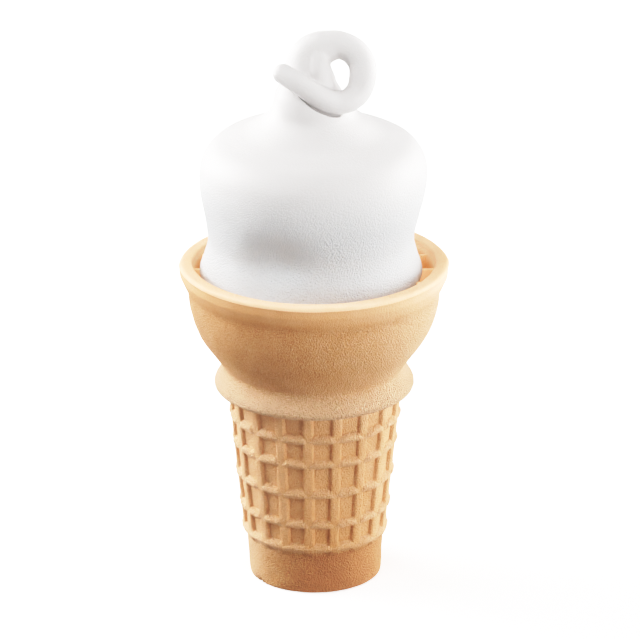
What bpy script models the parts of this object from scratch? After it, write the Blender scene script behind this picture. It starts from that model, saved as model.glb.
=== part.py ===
"""Soft serve in a flat-bottomed wafer cone.

Two solids: the baked wafer cone (foot band, waffle stem, collar, bowl with holding fins, lip) and the
ice cream that sits in its bowl and ends in a piped curl. The foot stands on z = 0, the cone's axis is
+Z, and -Y is the side that the tail of the curl lies on. Sizes are in millimetres until MM scales them.
"""

import math

import bmesh
import bpy
from mathutils import Vector

MM = 0.001
GAP = 0.3  # air left between the two solids where they touch

# The wafer cone: heights above the foot and radii from the axis
CONE_HEIGHT = 87.0
RIM_RADIUS = 35.0
RIM_WIDEST_Z = 85.1
LIP_INNER_RADIUS = 31.6
FOOT_RADIUS = 17.4
FOOT_EDGE = 0.6  # bevel of the bottom edge
BAND_TOP_Z = 11.6
BAND_TOP_RADIUS = 18.0

# Waffle grid of the stem: bars run round it, ribs run up it, and pockets lie between them
RIB_COUNT = 18
RIB_WIDTH_ANGLE = math.radians(8.0)
FIRST_RIB_ANGLE = math.radians(-94.6)
BAR_HEIGHTS = (13.1, 20.3, 29.2, 37.9, 45.0)
BAR_HALF_HEIGHT = 1.2
BAR_PROUD = 0.45
POCKET_WALL = 0.45
POCKET_DEPTH = 0.9
CREST_RADIUS_LOW = 19.15  # crest of the bars at the lowest one
CREST_GROWTH = 0.101  # how much the crest radius grows for each millimetre of height
STEM_TOP_Z = 53.5  # inside the collar

# Collar: a rounded flange with a flat underside
COLLAR_CENTRE_RADIUS = 22.0
COLLAR_RADIUS = 26.1
COLLAR_Z = 53.6
COLLAR_DROP = 2.0
COLLAR_RISE = 4.5
COLLAR_UNDER_END = math.radians(-18.0)  # the underside's arc ends in a small edge at the flange
COLLAR_TOP_END = math.radians(80.0)  # the top's arc runs in under the bowl

# Bowl: its wall is an arc about BOWL_CENTRE, a smooth band stands proud above it
BOWL_CENTRE = (8.0, 79.4)
BOWL_RADIUS = 24.6
BOWL_START = math.radians(-58.0)
BOWL_WALL = 2.4
BAND_STEP_Z = 80.6
BAND_STEP_RADIUS = 33.3
BAND_SHOULDER = (34.7, 83.7)
BOWL_STEPS = 52

# Fins on the bowl's wall that hold the ice cream
FIN_COUNT = 18
FIN_THICKNESS = 0.8
FIN_TOP_Z = 84.3
FIN_FOOT_Z = 71.0
FIN_ROOT = 1.0  # how far a fin reaches into the wall

# Ice cream: outline of the dome from the hidden core up to the neck, as (radius, height)
CORE_RADIUS = 26.7
CORE_LEAVES_WALL_Z = 68.6
WAIST_Z = 92.8
DOME_OUTLINE = (
    (26.7, 78.4),  # core below the foot
    (27.3, 81.0),
    (28.8, 84.2),  # foot, widest just below the lip
    (27.7, 87.9),
    (26.6, WAIST_Z),
    (27.5, 98.6),
    (28.9, 105.5),
    (29.35, 111.0),  # belly
    (28.5, 115.4),
    (25.8, 118.8),  # shoulder
    (21.5, 120.9),
    (17.5, 122.6),
    (13.5, 125.2),  # hollow below the neck
    (10.6, 128.2),
    (8.5, 132.2),
    (6.9, 135.6),  # inside the root of the curl
)
DOME_STEPS = 40
OUTLINE_STEPS = 2  # points added on each stretch of the outline

# How far the ice cream leans along X, as (height, offset)
LEAN = ((70.0, 0.0), (80.0, -0.7), (95.0, -0.7), (111.0, 0.0), (125.0, 0.0), (133.0, -1.3))

# Centre line of the curl: from inside the neck, over the top, down on the right and back across the
# front of the neck to the tip of the tail, as (x, y, z, radius)
CURL = (
    (-1.3, 0.0, 131.0, 7.0),
    (-1.4, 0.0, 135.0, 7.3),
    (-1.5, 0.3, 139.0, 6.3),
    (-0.8, 0.8, 142.3, 5.3),
    (2.2, 0.8, 144.3, 4.5),
    (6.0, 0.6, 145.4, 3.75),
    (9.7, 0.0, 144.2, 3.6),
    (12.1, -1.2, 141.6, 3.55),
    (12.6, -3.0, 138.6, 3.5),
    (11.6, -5.2, 135.2, 3.3),
    (9.0, -7.2, 133.2, 3.1),
    (5.8, -8.5, 133.0, 2.9),
    (2.1, -9.3, 134.7, 2.8),
    (-1.5, -9.4, 136.9, 2.75),
    (-5.0, -8.6, 139.0, 2.7),
    (-7.7, -7.2, 140.2, 2.6),
)
CURL_STEPS = 2  # rings on each stretch of the centre line
CURL_SIDES = 12
TIP_LENGTH = 2.5
TIP_RINGS = 3
TIP_ARC = math.radians(80.0)  # the rounded tip stops short of a point

# Looks
WAFER_COLOUR = (0.66, 0.40, 0.19)
WAFER_ROUGHNESS = 0.75
ICE_CREAM_COLOUR = (0.87, 0.86, 0.84)
ICE_CREAM_ROUGHNESS = 0.45


def clear_scene():
    """Remove whatever the scene holds."""
    for obj in list(bpy.context.scene.objects):
        bpy.data.objects.remove(obj, do_unlink=True)


def material(name, colour, roughness):
    """Return a matt material of one colour."""
    made = bpy.data.materials.new(name)
    made.use_nodes = True
    shader = made.node_tree.nodes["Principled BSDF"]
    shader.inputs["Base Color"].default_value = (*colour, 1.0)
    shader.inputs["Roughness"].default_value = roughness
    shader.inputs["Metallic"].default_value = 0.0
    return made


def add_object(name, bm):
    """Turn a bmesh in millimetres into an object in metres with its faces pointing out."""
    bmesh.ops.scale(bm, vec=(MM, MM, MM), verts=bm.verts)
    bmesh.ops.recalc_face_normals(bm, faces=bm.faces)
    mesh = bpy.data.meshes.new(name)
    bm.to_mesh(mesh)
    bm.free()
    obj = bpy.data.objects.new(name, mesh)
    bpy.context.scene.collection.objects.link(obj)
    return obj


def unite(target, other):
    """Join another closed solid to the target with an exact Boolean union, and remove it."""
    union = target.modifiers.new("union", "BOOLEAN")
    union.operation = "UNION"
    union.solver = "EXACT"
    union.use_self = True  # the curl's tail presses into its own neck
    union.object = other
    depsgraph = bpy.context.evaluated_depsgraph_get()
    joined = bpy.data.meshes.new_from_object(target.evaluated_get(depsgraph))
    target.modifiers.clear()
    target.data = joined
    bpy.data.objects.remove(other, do_unlink=True)


def finish(obj, look, sharp_degrees):
    """Shade the object smooth except at sharp edges, and give it its material."""
    obj.data.shade_smooth()
    obj.data.set_sharp_from_angle(angle=math.radians(sharp_degrees))
    obj.data.materials.clear()
    obj.data.materials.append(look)


def arc(centre, across, up, start, end, steps):
    """Points on an elliptical arc, its angles counted from the +radius direction."""
    points = []
    for i in range(steps + 1):
        angle = start + (end - start) * i / steps
        points.append((centre[0] + across * math.cos(angle), centre[1] + up * math.sin(angle)))
    return points


def interpolate(table, height):
    """Read a value from a table of (height, value), straight between its points."""
    if height <= table[0][0]:
        return table[0][1]
    for (low, before), (high, after) in zip(table, table[1:]):
        if height <= high:
            return before + (after - before) * (height - low) / (high - low)
    return table[-1][1]


def smooth_path(points, steps):
    """Catmull-Rom curve through tuples of any length, with steps points on each stretch."""
    smooth = []
    last = len(points) - 1
    for i in range(last):
        p0 = points[max(i - 1, 0)]
        p1 = points[i]
        p2 = points[i + 1]
        p3 = points[min(i + 2, last)]
        for step in range(steps):
            t = step / steps
            smooth.append(tuple(catmull_rom(*values, t) for values in zip(p0, p1, p2, p3)))
    smooth.append(tuple(points[-1]))
    return smooth


def catmull_rom(a, b, c, d, t):
    """Value at t on the stretch from b to c of a Catmull-Rom curve."""
    straight = 2 * b + (c - a) * t
    return 0.5 * (straight + (2 * a - 5 * b + 4 * c - d) * t**2 + (3 * b - a - 3 * c + d) * t**3)


def ring(bm, radius, height, angles, offset=0.0):
    """Add one ring of vertices about the axis."""
    return [
        bm.verts.new((radius * math.cos(a) + offset, radius * math.sin(a), height)) for a in angles
    ]


def skin(bm, rings):
    """Close neighbouring rings with quads, and cap the first and the last ring."""
    for lower, upper in zip(rings, rings[1:]):
        for i in range(len(lower)):
            j = (i + 1) % len(lower)
            bm.faces.new((lower[i], lower[j], upper[j], upper[i]))
    bm.faces.new(rings[0][::-1])
    bm.faces.new(rings[-1])


def even_angles(count):
    """Angles of evenly spaced columns."""
    return [2 * math.pi * i / count for i in range(count)]


def lathe(name, outline, count, lean=()):
    """Turn an outline of (radius, height) about the axis into a closed solid."""
    bm = bmesh.new()
    angles = even_angles(count)
    rings = []
    for radius, height in outline:
        offset = interpolate(lean, height) if lean else 0.0
        rings.append(ring(bm, radius, height, angles, offset))
    skin(bm, rings)
    return add_object(name, bm)


# The wafer cone


def crest_radius(height):
    """Radius of the waffle grid's bars at a height."""
    return CREST_RADIUS_LOW + CREST_GROWTH * (height - BAR_HEIGHTS[0])


def stem():
    """Foot band and waffle stem, with the pockets sunk between the bars and ribs."""
    outline = [
        (FOOT_RADIUS - FOOT_EDGE, 0.0),
        (FOOT_RADIUS, FOOT_EDGE),
        (BAND_TOP_RADIUS, BAND_TOP_Z),
    ]
    pocket_rows = []
    for height in BAR_HEIGHTS:
        for shift, drop in ((-BAR_HALF_HEIGHT, BAR_PROUD), (0.0, 0.0), (BAR_HALF_HEIGHT, BAR_PROUD)):
            outline.append((crest_radius(height + shift) - drop, height + shift))
        pocket_rows.append(len(outline) - 1)
    for height in (COLLAR_Z - COLLAR_DROP, STEM_TOP_Z):
        outline.append((crest_radius(height) - BAR_PROUD, height))

    angles = []
    for i in range(RIB_COUNT):
        middle = FIRST_RIB_ANGLE + 2 * math.pi * i / RIB_COUNT
        angles += [middle - RIB_WIDTH_ANGLE / 2, middle + RIB_WIDTH_ANGLE / 2]
    bm = bmesh.new()
    rings = [ring(bm, radius, height, angles) for radius, height in outline]
    skin(bm, rings)

    pockets = []
    for row in pocket_rows:
        for rib in range(RIB_COUNT):
            right = 2 * rib + 1
            left = (right + 1) % len(angles)
            corners = (rings[row][right], rings[row][left], rings[row + 1][left], rings[row + 1][right])
            pockets += [face for face in corners[0].link_faces if set(face.verts) == set(corners)]
    bmesh.ops.recalc_face_normals(bm, faces=bm.faces)
    bmesh.ops.inset_individual(bm, faces=pockets, thickness=POCKET_WALL, depth=-POCKET_DEPTH)
    return add_object("stem", bm)


def bowl():
    """Collar, bowl, band and lip, open at the top."""
    collar_centre = (COLLAR_CENTRE_RADIUS, COLLAR_Z)
    collar_reach = COLLAR_RADIUS - COLLAR_CENTRE_RADIUS
    underside = arc(collar_centre, collar_reach, COLLAR_DROP, -math.pi / 2, COLLAR_UNDER_END, steps=3)
    top = arc(collar_centre, collar_reach, COLLAR_RISE, 0.0, COLLAR_TOP_END, steps=4)
    outside = arc(BOWL_CENTRE, BOWL_RADIUS, BOWL_RADIUS, BOWL_START, 0.0, steps=6)
    band = [(BAND_STEP_RADIUS, BAND_STEP_Z), BAND_SHOULDER]
    lip_centre = ((RIM_RADIUS + LIP_INNER_RADIUS) / 2, RIM_WIDEST_Z)
    lip_reach = (RIM_RADIUS - LIP_INNER_RADIUS) / 2
    lip = arc(lip_centre, lip_reach, CONE_HEIGHT - RIM_WIDEST_Z, 0.0, math.pi, steps=6)
    inside_radius = BOWL_RADIUS - BOWL_WALL
    inside = arc(BOWL_CENTRE, inside_radius, inside_radius, 0.0, BOWL_START, steps=5)
    return lathe("bowl", underside + top + outside + band + lip + inside, BOWL_STEPS)


def fins():
    """Thin plates that stand on the bowl's wall and reach to the ice cream."""
    bm = bmesh.new()
    inner = [point for point in dome_outline() if FIN_FOOT_Z <= point[1] <= FIN_TOP_Z]
    inner = [(CORE_RADIUS, FIN_FOOT_Z)] + inner + [(interpolate(heights_first(), FIN_TOP_Z), FIN_TOP_Z)]
    outer = []
    for height in (FIN_TOP_Z, BOWL_CENTRE[1], FIN_FOOT_Z):
        rise = min(height - BOWL_CENTRE[1], 0.0)
        wall = BOWL_CENTRE[0] + math.sqrt((BOWL_RADIUS - BOWL_WALL) ** 2 - rise**2)
        outer.append((wall + FIN_ROOT, height))
    outer[0] = (LIP_INNER_RADIUS + FIN_ROOT, FIN_TOP_Z)
    for angle in even_angles(FIN_COUNT):
        direction = Vector((math.cos(angle), math.sin(angle), 0.0))
        side = Vector((-math.sin(angle), math.cos(angle), 0.0)) * (FIN_THICKNESS / 2)
        points = []
        for radius, height in inner:
            reach = radius + GAP + interpolate(LEAN, height) * math.cos(angle)
            points.append(direction * reach + Vector((0.0, 0.0, height)))
        for radius, height in outer:
            points.append(direction * radius + Vector((0.0, 0.0, height)))
        face = bm.faces.new([bm.verts.new(point - side) for point in points])
        grown = bmesh.ops.extrude_face_region(bm, geom=[face], use_keep_orig=True)
        moved = [item for item in grown["geom"] if isinstance(item, bmesh.types.BMVert)]
        bmesh.ops.translate(bm, verts=moved, vec=side * 2)
    return add_object("fins", bm)


# The ice cream


def dome_outline():
    """Smooth outline of the visible ice cream, as (radius, height)."""
    return smooth_path(DOME_OUTLINE, OUTLINE_STEPS)


def heights_first():
    """The same outline up to the waist as (height, radius), to read a radius from."""
    return [(height, radius) for radius, height in dome_outline() if height <= WAIST_Z]


def dome():
    """Ice cream from the bowl's floor up to the neck."""
    core_radius = BOWL_RADIUS - BOWL_WALL - GAP
    leaves = -math.asin((BOWL_CENTRE[1] - CORE_LEAVES_WALL_Z) / core_radius)
    core = arc(BOWL_CENTRE, core_radius, core_radius, BOWL_START, leaves, steps=3)
    return lathe("soft_serve", core + dome_outline(), DOME_STEPS, LEAN)


def curl():
    """Rope of ice cream that leaves the neck, loops over and lies back across it."""
    path = smooth_path(CURL, CURL_STEPS)
    tip_direction = (Vector(path[-1][:3]) - Vector(path[-2][:3])).normalized()
    tip_centre = Vector(path[-1][:3])
    tip_radius = path[-1][3]
    for i in range(1, TIP_RINGS + 1):
        angle = TIP_ARC * i / TIP_RINGS
        point = tip_centre + tip_direction * TIP_LENGTH * math.sin(angle)
        path.append((*point, tip_radius * math.cos(angle)))

    bm = bmesh.new()
    rings = []
    across = Vector((0.0, 1.0, 0.0))
    for i, (x, y, z, radius) in enumerate(path):
        before = Vector(path[max(i - 1, 0)][:3])
        after = Vector(path[min(i + 1, len(path) - 1)][:3])
        along = (after - before).normalized()
        across = (across - along * across.dot(along)).normalized()
        other = along.cross(across)
        centre = Vector((x, y, z))
        rings.append(
            [
                bm.verts.new(centre + (across * math.cos(a) + other * math.sin(a)) * radius)
                for a in even_angles(CURL_SIDES)
            ]
        )
    skin(bm, rings)
    return add_object("curl", bm)


def main():
    clear_scene()
    wafer = stem()
    wafer.name = "wafer_cone"
    unite(wafer, bowl())
    unite(wafer, fins())
    finish(wafer, material("baked_wafer", WAFER_COLOUR, WAFER_ROUGHNESS), sharp_degrees=35)

    ice_cream = dome()
    unite(ice_cream, curl())
    look = material("soft_serve_ice_cream", ICE_CREAM_COLOUR, ICE_CREAM_ROUGHNESS)
    finish(ice_cream, look, sharp_degrees=50)


main()
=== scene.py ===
# %% [markdown]
# # Soft serve in a flat-bottomed wafer cone
#
# This lesson builds a soft serve cone around its fixed model: a baked wafer cup cone with a waffle-grid
# stem, and the piped ice cream that stands in its bowl and ends in a looped curl. The fixed model gives
# every size. Each real piece becomes one fine mesh here, with a procedural material.

# %% Load the fixed model
import math

import bpy
import numpy as np
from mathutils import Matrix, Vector, noise


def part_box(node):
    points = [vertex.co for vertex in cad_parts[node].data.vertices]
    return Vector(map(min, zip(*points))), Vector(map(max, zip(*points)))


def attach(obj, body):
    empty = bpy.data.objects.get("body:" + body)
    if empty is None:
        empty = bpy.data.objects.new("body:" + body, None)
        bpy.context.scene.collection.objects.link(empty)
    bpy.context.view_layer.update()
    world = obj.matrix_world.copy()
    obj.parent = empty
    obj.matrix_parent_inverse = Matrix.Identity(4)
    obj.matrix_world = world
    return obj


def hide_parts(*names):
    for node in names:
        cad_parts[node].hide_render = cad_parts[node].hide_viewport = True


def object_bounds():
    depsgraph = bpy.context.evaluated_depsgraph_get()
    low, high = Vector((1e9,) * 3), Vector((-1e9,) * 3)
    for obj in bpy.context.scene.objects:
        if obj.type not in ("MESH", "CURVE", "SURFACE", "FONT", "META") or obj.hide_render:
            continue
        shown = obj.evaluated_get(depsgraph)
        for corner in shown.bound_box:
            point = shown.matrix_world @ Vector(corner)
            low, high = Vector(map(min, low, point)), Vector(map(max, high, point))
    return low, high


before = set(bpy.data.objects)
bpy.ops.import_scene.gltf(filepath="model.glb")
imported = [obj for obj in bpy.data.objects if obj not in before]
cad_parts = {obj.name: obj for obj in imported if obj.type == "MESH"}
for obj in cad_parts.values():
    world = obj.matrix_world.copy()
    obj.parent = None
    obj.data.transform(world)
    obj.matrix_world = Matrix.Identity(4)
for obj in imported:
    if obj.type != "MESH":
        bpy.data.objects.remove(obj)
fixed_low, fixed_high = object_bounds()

fixed_size = [round(side * 1000, 1) for side in fixed_high - fixed_low]
print("fixed model:", sorted(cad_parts), "size in mm:", fixed_size)

# %% [markdown]
# ## Driving sizes
#
# A part that must fit others takes its sizes from them and never types them again. The rim's radius, the
# cone's height and the ice cream's floor are read from the fixed model's boxes. The other sizes are
# millimetres on this object, because a baker's mould is drawn in millimetres too.

# %% Read the driving sizes
MM = 0.001
wafer_low, wafer_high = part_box("wafer_cone")
serve_low, serve_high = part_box("soft_serve")
RIM_RADIUS = wafer_high.x / MM
CONE_HEIGHT = wafer_high.z / MM
SERVE_FLOOR = serve_low.z / MM
print(f"rim radius {RIM_RADIUS:.1f}, cone height {CONE_HEIGHT:.1f}, curl top {serve_high.z / MM:.1f} mm")

# %% [markdown]
# ## The camera
#
# A long lens from well back keeps the rim's ellipse and the foot's ellipse nearly alike, as in a studio
# picture of food. The camera looks down at about twenty degrees. It is aimed at a point instead of
# being shifted, so it still frames the object when it is moved round it.

# %% Place the camera
CAMERA_RISE = math.radians(21.5)
CAMERA_DISTANCE = 1.7
SEEN_WIDTH = 0.1662  # metres seen across the frame at the aim point
AIM = Vector((0.0016, 0.0, 0.0700))

camera_data = bpy.data.cameras.new("camera")
camera_data.lens = camera_data.sensor_width * CAMERA_DISTANCE / SEEN_WIDTH
camera_data.clip_end = 20.0
camera = bpy.data.objects.new("camera", camera_data)
camera.location = AIM + CAMERA_DISTANCE * Vector((0.0, -math.cos(CAMERA_RISE), math.sin(CAMERA_RISE)))
camera.rotation_euler = (math.pi / 2 - CAMERA_RISE, 0.0, 0.0)
bpy.context.scene.collection.objects.link(camera)
bpy.context.scene.camera = camera
print(f"lens {camera_data.lens:.0f} mm")

# %% [markdown]
# ## Outlines
#
# A moulded wafer is a turned shape, so it starts as an outline of (radius, height). An outline is a
# walk along lines and arcs that drops a point every so often: finely where the surface shows, coarsely
# where it is hidden. Averaging each point with its neighbours then rounds the corners, as batter does.

# %% Walk along lines and arcs


def line(start, end, spacing):
    """Points from start up to, but without, end."""
    start, end = np.array(start), np.array(end)
    steps = max(int(round(np.linalg.norm(end - start) / spacing)), 1)
    return [start + (end - start) * i / steps for i in range(steps)]


def arc(centre, across, up, start, end, spacing):
    """Points on an elliptical arc about centre, without its end point; angles in degrees."""
    steps = max(int(round(math.radians(abs(end - start)) * (across + up) / 2 / spacing)), 1)
    angles = np.radians(start + (end - start) * np.arange(steps) / steps)
    return [np.array((centre[0] + across * math.cos(a), centre[1] + up * math.sin(a))) for a in angles]


def smooth_path(points, spacing):
    """Points on a Catmull-Rom curve through the given ones, about spacing apart."""
    points = np.array(points, dtype=float)
    padded = np.vstack([points[:1], points, points[-1:]])
    path = []
    for p0, p1, p2, p3 in zip(padded, padded[1:], padded[2:], padded[3:]):
        steps = max(int(round(np.linalg.norm(p2 - p1) / spacing)), 1)
        for t in np.arange(steps) / steps:
            straight = 2 * p1 + (p2 - p0) * t
            bend = (2 * p0 - 5 * p1 + 4 * p2 - p3) * t**2
            twist = (3 * p1 - p0 - 3 * p2 + p3) * t**3
            path.append((straight + bend + twist) / 2)
    return np.array(path + [points[-1]])


def soften(points, passes):
    """Round an outline's corners: each pass moves a point halfway to the middle of its neighbours."""
    points = np.array(points)
    for _ in range(passes):
        points[1:-1] = (points[:-2] + 2 * points[1:-1] + points[2:]) / 4
    return points


quarter = arc((0.0, 0.0), 10.0, 10.0, 0, 90, 1.0)
print("a quarter circle of 10 mm radius at 1 mm spacing:", len(quarter), "points")

# %% [markdown]
# ## The wafer cone's outline
#
# The cone is baked between two halves of a steel mould and a core. From the foot up it has a plain
# band, the waffle stem, a rounded collar that stiffens it, a half-round bowl, and a smooth band with a
# thick lip. The lip was trimmed, which left a low upright edge that stands a hair out from the band.
# The outline goes up the outside, over the lip and down the inside to the bowl's floor. A Screw
# modifier could turn it too, but with the points in an array the grid can be added to them by formula.

# %% Draw the wafer cone's outline
STEM_STEP = 0.4  # spacing of points, finest where the relief is finest
WALL_STEP = 0.68
HIDDEN_STEP = 3.0
START_RADIUS = 1.0  # an outline starts and ends this far from the axis, and a fan closes it

FOOT_RADIUS = 17.2
FOOT_EDGE = 0.7
BAND_TOP = (17.85, 11.6)
STEM_TOP_Z = 51.65
CREST_LOW = (19.15, 13.1)  # crest of the lowest bar of the grid
CREST_GROWTH = 0.101  # the stem's taper: millimetres of radius for each millimetre of height
RIB_DROP = 0.4  # the ribs stay this far below the crest of the bars
POCKET_DEPTH = 0.95  # from the ribs to the pockets' floor
COLLAR_CORNER = (23.5, 53.4)  # middle of the rounding under the collar
COLLAR_REACH = 2.55
COLLAR_DROP = 1.75
COLLAR = (  # from the widest place up into the crease and out again under the bowl
    (26.05, 53.4),
    (25.8, 54.3),
    (25.2, 55.1),
    (24.5, 56.2),
    (23.9, 57.3),
    (23.6, 58.2),
    (24.1, 59.4),
    (25.5, 61.4),
    (26.84, 63.33),
)
BOWL_CENTRE = (8.0, 79.4)
BOWL_RADIUS = 24.6
BOWL_DEPTH = 25.0  # the bowl is a little deeper than it is round
BOWL_START = -40.0  # its arc starts at this angle above the collar
BOWL_FLOOR = -58.0  # and inside at this angle beside the floor
BOWL_WALL = 2.4
STEP = (33.3, 80.6)
SHOULDER = (34.7, 83.7)
LIP_INNER_RADIUS = 31.6
LIP_CORNERS = (0.7, 0.45)  # radius of the flat lip's outer and inner corner
LIP_FACE = 1.15  # height of the trimmed edge round the lip
LIP_STEP = 0.16  # how far the edge stands out from the band below
SHOWN_INSIDE = -28.0  # the inner wall is only seen down to this angle of its arc


def crest_radius(height):
    """Radius of the crest of the grid's bars at a height."""
    return CREST_LOW[0] + CREST_GROWTH * (height - CREST_LOW[1])


def floor_radius(height):
    """Radius of the pockets' floor at a height."""
    return crest_radius(height) - RIB_DROP - POCKET_DEPTH


def stem_outline():
    """From the middle of the underside up the foot and the stem and round the collar's lower edge."""
    stem_foot = (floor_radius(BAND_TOP[1]), BAND_TOP[1] + STEM_STEP)
    stem_top = (floor_radius(STEM_TOP_Z), STEM_TOP_Z)
    points = line((START_RADIUS, 0.0), (FOOT_RADIUS - FOOT_EDGE, 0.0), HIDDEN_STEP)
    points += arc((FOOT_RADIUS - FOOT_EDGE, FOOT_EDGE), FOOT_EDGE, FOOT_EDGE, -90, 0, STEM_STEP / 2)
    points += line((FOOT_RADIUS, FOOT_EDGE), BAND_TOP, WALL_STEP)
    points += line(stem_foot, stem_top, STEM_STEP)
    points += line(stem_top, (COLLAR_CORNER[0], STEM_TOP_Z), WALL_STEP)
    return points + arc(COLLAR_CORNER, COLLAR_REACH, COLLAR_DROP, -90, 0, STEM_STEP)


def bowl_outline():
    """Up the collar and the bowl, over the flat lip and down the inside to the middle of the floor."""
    outer, inner = LIP_CORNERS
    wall = BOWL_RADIUS - BOWL_WALL
    outer_corner = (RIM_RADIUS - outer, CONE_HEIGHT - outer)
    inner_corner = (LIP_INNER_RADIUS + inner, CONE_HEIGHT - inner)
    floor = BOWL_CENTRE[1] + wall * math.sin(math.radians(BOWL_FLOOR))
    edge = BOWL_CENTRE[0] + wall * math.cos(math.radians(BOWL_FLOOR))
    points = list(smooth_path(COLLAR, WALL_STEP)[:-1])
    points += arc(BOWL_CENTRE, BOWL_RADIUS, BOWL_DEPTH, BOWL_START, 0, WALL_STEP)
    points += line((BOWL_CENTRE[0] + BOWL_RADIUS, BOWL_CENTRE[1]), STEP, STEM_STEP)
    under_lip = (RIM_RADIUS - LIP_STEP, CONE_HEIGHT - LIP_FACE)
    lip_edge = (RIM_RADIUS, CONE_HEIGHT - LIP_FACE + LIP_STEP)
    points += line(STEP, SHOULDER, STEM_STEP) + line(SHOULDER, under_lip, STEM_STEP)
    points += line(under_lip, lip_edge, LIP_STEP / 2)
    points += line(lip_edge, (RIM_RADIUS, outer_corner[1]), LIP_STEP)
    points += arc(outer_corner, outer, outer, 0, 90, STEM_STEP / 1.5)
    points += line((outer_corner[0], CONE_HEIGHT), (inner_corner[0], CONE_HEIGHT), STEM_STEP)
    points += arc(inner_corner, inner, inner, 90, 180, STEM_STEP / 1.5)
    points += line((LIP_INNER_RADIUS, inner_corner[1]), (BOWL_CENTRE[0] + wall, BOWL_CENTRE[1]), WALL_STEP)
    points += arc(BOWL_CENTRE, wall, wall, 0, SHOWN_INSIDE, WALL_STEP * 1.3)
    points += arc(BOWL_CENTRE, wall, wall, SHOWN_INSIDE, BOWL_FLOOR, HIDDEN_STEP)
    return points + line((edge, floor), (START_RADIUS, floor), HIDDEN_STEP)


outline = soften(stem_outline() + bowl_outline(), passes=1)
print("wafer outline:", len(outline), "points, widest", round(outline[:, 0].max(), 2), "mm")

# %% [markdown]
# ## The waffle grid
#
# The mould's grid leaves 18 ribs up the stem, five bars round it and square pockets between them. A
# rib is a low flat ridge with steep flanks that runs right through. A bar is a fatter roll: its lower
# edge runs straight round, and its upper edge swells between two ribs and dips where it crosses one.
# The ridges could be separate bodies joined by Booleans, or pockets cut by ninety cutters. Here one
# formula gives the height above the pockets' floor at any angle and height, and taking the higher of
# rib and bar makes the soft creases where they cross. The lowest bar is a bead that runs unbroken.

# %% Shape the ribs and bars
RIB_COUNT = 18
RIB_PITCH = 360 / RIB_COUNT
FIRST_RIB = -94.6  # degrees; the front rib stands a little to the left of the front
RIB_HALF_WIDTH = 1.42  # to the foot of its flanks
RIB_FLATNESS = 4.5
BAR_HEIGHTS = (13.1, 20.1, 29.0, 37.8, 44.9)
BAR_WIDTH = 2.7
BAR_PINCH = 0.6  # share of its width that a bar keeps on a rib
BEAD_PINCH = 0.8
BAR_SWELL = 0.46  # a bar has its full width from this share of the way to a pocket's middle
BAR_UNEVEN = 0.12  # millimetres that a bar wanders up and down from rib to rib
BAR_FLATNESS = 2.2
BAR_STEEPNESS = 0.8


def ease(low, high, value):
    """Go smoothly from 0 at low to 1 at high."""
    t = np.clip((value - low) / (high - low), 0.0, 1.0)
    return t * t * (3 - 2 * t)


def roll(across, flatness, steepness=0.6):
    """Height of a rounded ridge, 1 on its middle and 0 from |across| = 1 outwards; a low power is steep."""
    return np.clip(1 - np.abs(across) ** flatness, 0.0, 1.0) ** steepness


def off_rib(angle):
    """Number of the nearest rib and how many degrees away it is."""
    number = np.floor((angle - FIRST_RIB) / RIB_PITCH + 0.5)
    return number, angle - FIRST_RIB - number * RIB_PITCH


def grid_height(angle, height):
    """Height of the grid above the pockets' floor and the share of it that is bar, at degrees and mm."""
    number, off = off_rib(angle)
    across = np.radians(off) * floor_radius(height)
    between = np.abs(off) / (RIB_PITCH / 2)  # 0 on a rib, 1 in the middle of a pocket
    swell = ease(0.0, BAR_SWELL, between)
    rib = POCKET_DEPTH * roll(across / RIB_HALF_WIDTH, RIB_FLATNESS)
    bars = np.zeros(np.broadcast(angle, height).shape)
    for place, middle in enumerate(BAR_HEIGHTS):
        bead = place == 0
        pinch = BEAD_PINCH if bead else BAR_PINCH
        uneven = 0.0 if bead else BAR_UNEVEN * np.sin(2.3 * number + 1.7 * place)
        width = BAR_WIDTH * (pinch + (1 - pinch) * swell)
        centre = middle + uneven - BAR_WIDTH / 2 + width / 2
        crest = POCKET_DEPTH + RIB_DROP * (1.0 if bead else swell)
        bar = crest * roll((height - centre) / (width / 2), BAR_FLATNESS, BAR_STEEPNESS)
        bars = np.maximum(bars, bar)
    return np.maximum(rib, bars), bars > rib


example, _ = grid_height(np.array(FIRST_RIB), np.array(25.0))
print("grid height on a rib:", round(float(example), 2), "mm")

# %% [markdown]
# ## The wafer cone's mesh
#
# The outline is turned about the axis into rings of points, the grid's height is added on the stem, and
# quads join neighbouring points. The columns aren't spaced evenly: in each rib's sector they crowd
# together at the rib's two flanks, which keeps those crisp without a heavier mesh.

# %% Turn the outline into rings
HALF_SECTOR = (0.0, 1.1, 2.0, 2.6, 3.1, 3.6, 4.1, 4.6, 5.4, 6.7, 8.3, 10.0)  # degrees from a rib's middle


def noise_at(points, lump, seed):
    """Smooth noise about -0.5 to 0.5 at each point, with lumps of that many millimetres."""
    shift = Vector((17.3 * seed, 5.1 * seed, -9.7 * seed))
    return np.array([noise.noise(Vector(point) / lump + shift) for point in points.tolist()])


def turn(outline, angles):
    """Rings of points, as an array of rings, columns and coordinates."""
    radius = outline[:, :1]
    height = np.repeat(outline[:, 1:], len(angles), axis=1)
    return np.stack([radius * np.cos(angles), radius * np.sin(angles), height], axis=2)


def push_out(rings, distance):
    """Move every point away from the axis by its distance."""
    reach = np.linalg.norm(rings[:, :, :2], axis=2)
    rings[:, :, :2] *= ((reach + distance) / np.maximum(reach, 1e-6))[:, :, None]


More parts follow.
